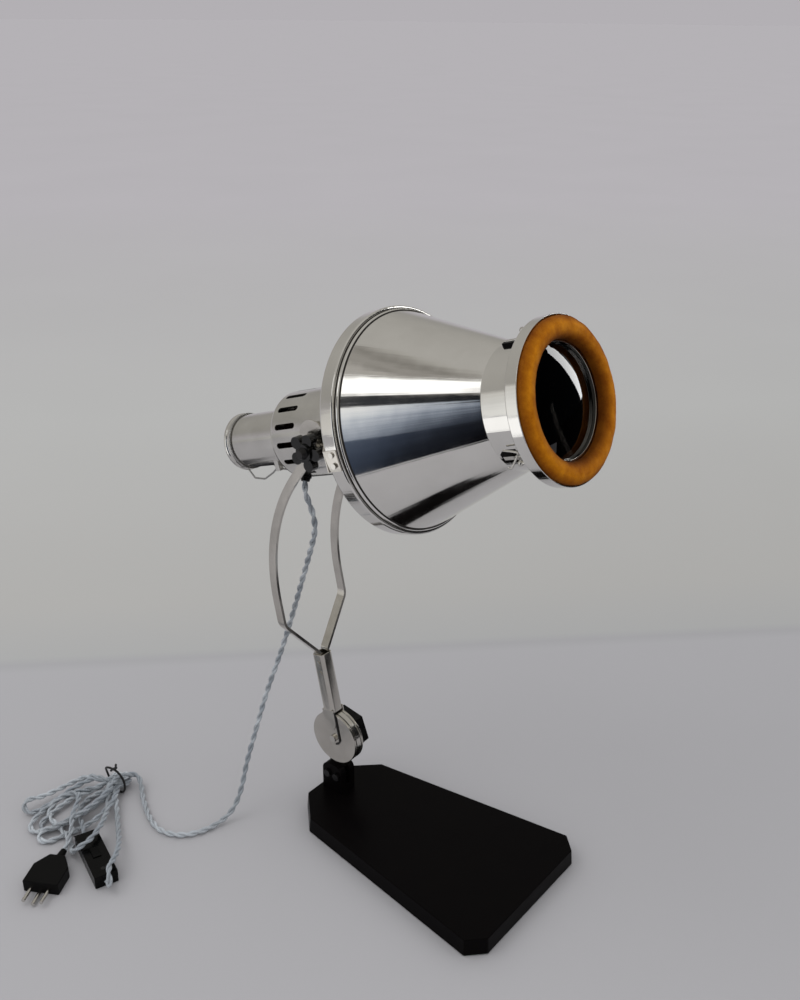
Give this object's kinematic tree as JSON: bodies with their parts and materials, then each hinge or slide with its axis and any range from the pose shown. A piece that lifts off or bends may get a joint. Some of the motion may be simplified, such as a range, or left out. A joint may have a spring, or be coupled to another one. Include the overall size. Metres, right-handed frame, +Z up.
{
  "type": "tabletop heat lamp",
  "caption": "Tabletop heat lamp: cone-shaped polished aluminium head with leather-rimmed glass front on a forked arm with friction joint and flat iron base, with free cord, switch and plug.",
  "frame": {"origin": "centre of the base's underside, on the surface it stands on", "axes": "+X towards the base's wide front edge and the way the head shines, +Z up, -Y the side of the wing knob"},
  "size_m": [0.5511, 0.4337, 0.6087],
  "materials": {
    "green_felt": "felt",
    "black_cast_iron": "gloss black stoved enamel",
    "polished_steel": "polished nickel plate",
    "dark_steel": "blackened",
    "vulcan_fibre": "plain",
    "satin_steel": "satin nickel plate",
    "spring_steel": "drawn wire and strip",
    "black_bakelite": "moulded, gloss",
    "brass": "turned",
    "satin_aluminium": "satin spun",
    "polished_aluminium": "mirror polished",
    "white_porcelain": "glazed",
    "clear_glass": "clear",
    "aluminium_rivet": "polished",
    "tan_leather": "grained, lightly waxed",
    "black_rubber": "moulded, matt",
    "grey_cloth_cord": "twisted braided cotton",
    "black_nylon": "moulded"
  },
  "bodies": {
    "base": {"base_felt": "green_felt", "base_plate": "black_cast_iron", "base_lug": "black_cast_iron", "fixed_disc": "polished_steel", "lug_bolts": "dark_steel", "friction_rings": "vulcan_fibre", "cord_base": "grey_cloth_cord", "cord_hank": "grey_cloth_cord", "cable_tie": "black_nylon", "cord_to_switch": "grey_cloth_cord", "cord_over_switch": "grey_cloth_cord", "cord_from_switch": "grey_cloth_cord", "cord_to_plug": "grey_cloth_cord", "switch_body": "black_bakelite", "switch_cover": "black_bakelite", "switch_screws": "brass", "plug_body": "black_rubber", "plug_pins": "polished_steel", "plug_relief": "black_rubber"},
    "arm": {"near_disc": "satin_steel", "far_disc": "satin_steel", "stem_tube": "satin_steel", "stop_hook": "spring_steel", "joint_bolt": "polished_steel", "fork_arm_near": "satin_steel", "fork_arm_far": "satin_steel", "fork_rivets": "satin_steel", "cord_stem": "grey_cloth_cord"},
    "clamp": {"clamp_knob": "black_bakelite", "clamp_bush": "brass"},
    "head": {"neck_shell": "satin_aluminium", "reflector_dome": "polished_aluminium", "hood_band": "polished_aluminium", "cone_hood": "polished_aluminium", "front_collar": "polished_aluminium", "rear_cap": "satin_aluminium", "cap_lid": "satin_aluminium", "lid_spring_wire": "spring_steel", "lamp_holder": "white_porcelain", "bulb_cap": "brass", "bulb_glass": "clear_glass", "terminal_block": "white_porcelain", "cord_gland": "black_bakelite", "side_bracket_near": "satin_steel", "side_bracket_far": "satin_steel", "bracket_rivets": "aluminium_rivet", "pivot_studs": "polished_steel", "pivot_washers": "polished_steel", "pivot_nut": "polished_steel", "clip_blocks": "satin_aluminium", "clip_springs": "spring_steel", "cord_head": "grey_cloth_cord"},
    "holder": {"front_ring": "polished_aluminium", "front_lens": "clear_glass", "lens_retainer": "polished_aluminium", "leather_pad": "tan_leather", "clip_pins": "polished_steel"},
    "wing": {"wing_knob": "black_bakelite", "wing_cap": "polished_steel"},
    "rocker": {"switch_rocker": "black_bakelite"}
  },
  "joints": [
    {"name": "stem_tilt", "type": "hinge", "parent": "base", "child": "arm", "pos_m": [-0.1207, 0, 0.09], "axis": [0, 1, 0], "range_deg": [-30, 40]},
    {"name": "head_tilt", "type": "hinge", "parent": "arm", "child": "head", "pos_m": [-0.1016, 0, 0.4523], "axis": [0, 1, 0], "range_deg": [-35, 45]},
    {"name": "clamp_turn", "type": "hinge", "parent": "arm", "child": "clamp", "pos_m": [-0.1207, 0.016, 0.09], "axis": [0, 1, 0], "range_deg": [-180, 180]},
    {"name": "wing_turn", "type": "hinge", "parent": "head", "child": "wing", "pos_m": [-0.1016, -0.056, 0.4523], "axis": [0, 1, 0], "range_deg": [-180, 180]},
    {"name": "front_pull", "type": "slide", "parent": "head", "child": "holder", "axis": [0.9468, 0, 0.3219], "range_m": [0, 0.03]},
    {"name": "switch_rock", "type": "hinge", "parent": "base", "child": "rocker", "pos_m": [-0.2505, -0.2411, 0.011], "axis": [0.342, 0.9397, 0], "range_deg": [-14, 0]}
  ]
}
